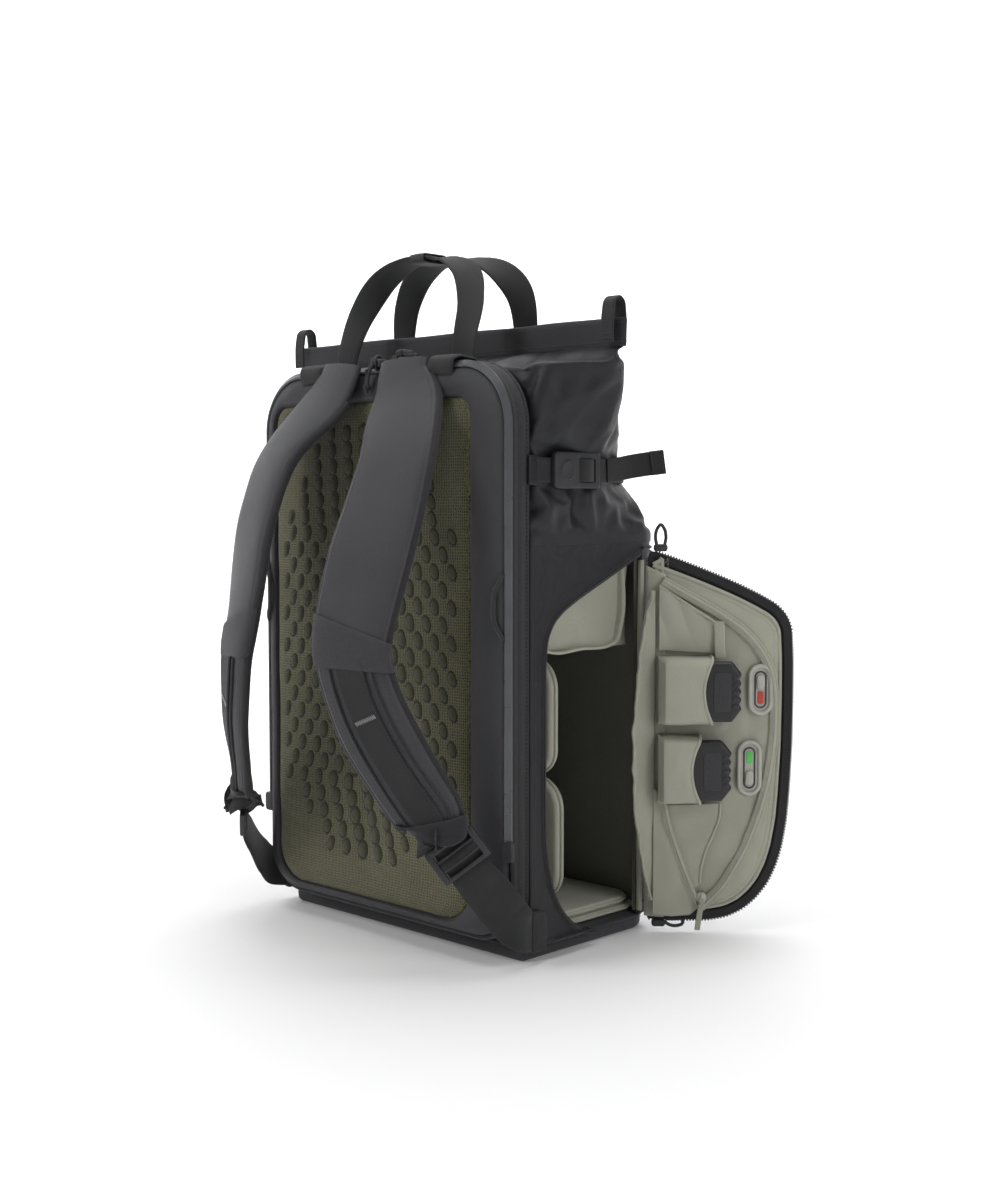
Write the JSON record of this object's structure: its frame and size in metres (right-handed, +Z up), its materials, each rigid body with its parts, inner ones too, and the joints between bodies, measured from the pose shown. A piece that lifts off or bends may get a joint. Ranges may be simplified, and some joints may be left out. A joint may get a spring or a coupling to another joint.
{
  "type": "drone carrying backpack",
  "caption": "Roll-top carrying backpack for a drone kit, with a clamshell back panel, padded shoulder straps and an open side access door that holds batteries.",
  "frame": {"origin": "centre of the base pad's bottom face, on the floor", "axes": "+Z up, -Y out of the harness face, +X towards the side with the access door"},
  "size_m": [0.456, 0.3747, 0.596],
  "materials": {
    "shell_fabric": "matte coated polyester",
    "nylon": "wrinkled coated nylon",
    "strap_fabric": "smooth padded laminate",
    "back_mesh": "spacer mesh with raised pods",
    "webbing": "woven webbing",
    "lining": "light lining cloth",
    "coated_zip": "coated zip tape, satin",
    "buckle_plastic": "moulded, fine texture",
    "battery_case": "moulded, ribbed edge",
    "status_plastic": "moulded, satin"
  },
  "bodies": {
    "shell": {"base_panel": "shell_fabric", "front_panel": "shell_fabric", "left_side_panel": "shell_fabric", "right_side_panel": "shell_fabric", "rolltop_collar": "nylon", "rim_band": "nylon", "end_tab_right": "webbing", "end_tab_left": "webbing", "gusset_band": "shell_fabric", "panel_zip": "coated_zip", "side_strap_right": "webbing", "side_strap_left": "webbing", "side_strap_tail_right": "webbing", "side_strap_tail_left": "webbing", "webbing_anchor_right": "webbing", "webbing_anchor_left": "webbing", "floor_pad": "lining", "upper_bay_liner": "lining", "divider_upper": "lining", "divider_lower": "lining"},
    "back_panel": {"back_panel": "shell_fabric", "mesh_pad": "back_mesh", "laptop_sleeve": "lining", "finger_loop_right": "webbing", "finger_loop_left": "webbing", "handle_band_left": "webbing", "handle_band_right": "webbing", "shoulder_strap_right": "strap_fabric", "shoulder_strap_left": "strap_fabric", "strap_band_right": "webbing", "strap_band_left": "webbing", "lower_webbing_right": "webbing", "lower_webbing_left": "webbing"},
    "handle_rear": {"handle_rear": "webbing", "handle_wrap": "nylon"},
    "handle_front": {"handle_front": "webbing"},
    "panel_zip_slider_left": {"panel_zip_slider_left": "buckle_plastic"},
    "panel_zip_slider_right": {"panel_zip_slider_right": "buckle_plastic"},
    "panel_zip_pull_left": {"panel_zip_pull_left": "webbing"},
    "panel_zip_pull_right": {"panel_zip_pull_right": "webbing"},
    "ladder_lock_right": {"ladder_lock_right": "buckle_plastic"},
    "ladder_lock_left": {"ladder_lock_left": "buckle_plastic"},
    "side_buckle_right": {"side_buckle_right": "buckle_plastic"},
    "side_buckle_left": {"side_buckle_left": "buckle_plastic"},
    "side_door": {"door_zip": "webbing", "side_door": "nylon", "door_lining": "lining", "battery_pouch_upper": "lining", "battery_pouch_lower": "lining", "status_frame_upper": "status_plastic", "status_frame_lower": "status_plastic"},
    "door_zip_slider_upper": {"door_zip_slider_upper": "buckle_plastic"},
    "door_zip_slider_lower": {"door_zip_slider_lower": "buckle_plastic"},
    "battery_upper": {"battery_upper": "battery_case"},
    "battery_lower": {"battery_lower": "battery_case"},
    "status_slider_upper": {"status_slider_upper": "status_plastic"},
    "status_slider_lower": {"status_slider_lower": "status_plastic"},
    "pocket_flap": {"pocket_flap": "lining"},
    "pocket_zip_slider": {"pocket_zip_slider": "lining"},
    "pocket_zip_pull": {"pocket_zip_pull": "lining"}
  },
  "joints": [
    {"name": "back_panel_hinge", "type": "hinge", "parent": "shell", "child": "back_panel", "pos_m": [0, -0.098, 0.022], "axis": [1, 0, 0], "range_deg": [0, 60]},
    {"name": "side_door_hinge", "type": "hinge", "parent": "shell", "child": "side_door", "pos_m": [0.1575, 0.066, 0.17], "axis": [0, 0, 1], "range_deg": [-134.1, 15]},
    {"name": "handle_rear_fold", "type": "hinge", "parent": "shell", "child": "handle_rear", "pos_m": [0, -0.072, 0.492], "axis": [1, 0, 0], "range_deg": [0, 72]},
    {"name": "handle_front_fold", "type": "hinge", "parent": "shell", "child": "handle_front", "pos_m": [0, 0.002, 0.504], "axis": [1, 0, 0], "range_deg": [-80, 0]},
    {"name": "panel_zip_slider_left_slide", "type": "slide", "parent": "back_panel", "child": "panel_zip_slider_left", "axis": [1, 0, 0], "range_m": [-0.006, 0]},
    {"name": "panel_zip_slider_right_slide", "type": "slide", "parent": "back_panel", "child": "panel_zip_slider_right", "axis": [1, 0, 0], "range_m": [0, 0.03]},
    {"name": "panel_zip_pull_left_swing", "type": "hinge", "parent": "panel_zip_slider_left", "child": "panel_zip_pull_left", "pos_m": [0.001, -0.1065, 0.494], "axis": [1, 0, 0], "range_deg": [-75, 0]},
    {"name": "panel_zip_pull_right_swing", "type": "hinge", "parent": "panel_zip_slider_right", "child": "panel_zip_pull_right", "pos_m": [0.03, -0.1045, 0.498], "axis": [0, 0, 1], "range_deg": [-35, 5]},
    {"name": "ladder_lock_right_tilt", "type": "hinge", "parent": "back_panel", "child": "ladder_lock_right", "pos_m": [0.139, -0.141, 0.099], "axis": [0.6054, 0.5116, 0.6096], "range_deg": [-12, 12]},
    {"name": "ladder_lock_left_tilt", "type": "hinge", "parent": "back_panel", "child": "ladder_lock_left", "pos_m": [-0.139, -0.141, 0.099], "axis": [0.6054, -0.5116, -0.6096], "range_deg": [-12, 12]},
    {"name": "side_buckle_right_slide", "type": "slide", "parent": "shell", "child": "side_buckle_right", "axis": [0, 1, 0], "range_m": [-0.01, 0.01]},
    {"name": "side_buckle_left_slide", "type": "slide", "parent": "shell", "child": "side_buckle_left", "axis": [0, 1, 0], "range_m": [-0.01, 0.01]},
    {"name": "door_zip_slider_upper_slide", "type": "slide", "parent": "side_door", "child": "door_zip_slider_upper", "axis": [0.6736, 0.6528, -0.3466], "range_m": [0, 0.03]},
    {"name": "door_zip_slider_lower_slide", "type": "slide", "parent": "side_door", "child": "door_zip_slider_lower", "axis": [0.7181, 0.6959, 0], "range_m": [0, 0.02]},
    {"name": "battery_upper_slide", "type": "slide", "parent": "side_door", "child": "battery_upper", "axis": [0.7181, 0.6959, 0], "range_m": [0, 0.055]},
    {"name": "battery_lower_slide", "type": "slide", "parent": "side_door", "child": "battery_lower", "axis": [0.7181, 0.6959, 0], "range_m": [0, 0.045]},
    {"name": "status_slider_upper_slide", "type": "slide", "parent": "side_door", "child": "status_slider_upper", "axis": [0, 0, 1], "range_m": [-0.013, 0.001]},
    {"name": "status_slider_lower_slide", "type": "slide", "parent": "side_door", "child": "status_slider_lower", "axis": [0, 0, 1], "range_m": [-0.001, 0.018]},
    {"name": "pocket_flap_hinge", "type": "hinge", "parent": "side_door", "child": "pocket_flap", "pos_m": [0.17067, 0.06678, 0.14], "axis": [0, 0, 1], "range_deg": [-25, 35]},
    {"name": "pocket_zip_slider_slide", "type": "slide", "parent": "side_door", "child": "pocket_zip_slider", "axis": [0.4744, 0.4597, 0.7507], "range_m": [0, 0.03]},
    {"name": "pocket_zip_pull_swing", "type": "hinge", "parent": "pocket_zip_slider", "child": "pocket_zip_pull", "pos_m": [0.20204, 0.09189, 0.036], "axis": [-0.6959, 0.7181, 0], "range_deg": [-30, 30]}
  ]
}
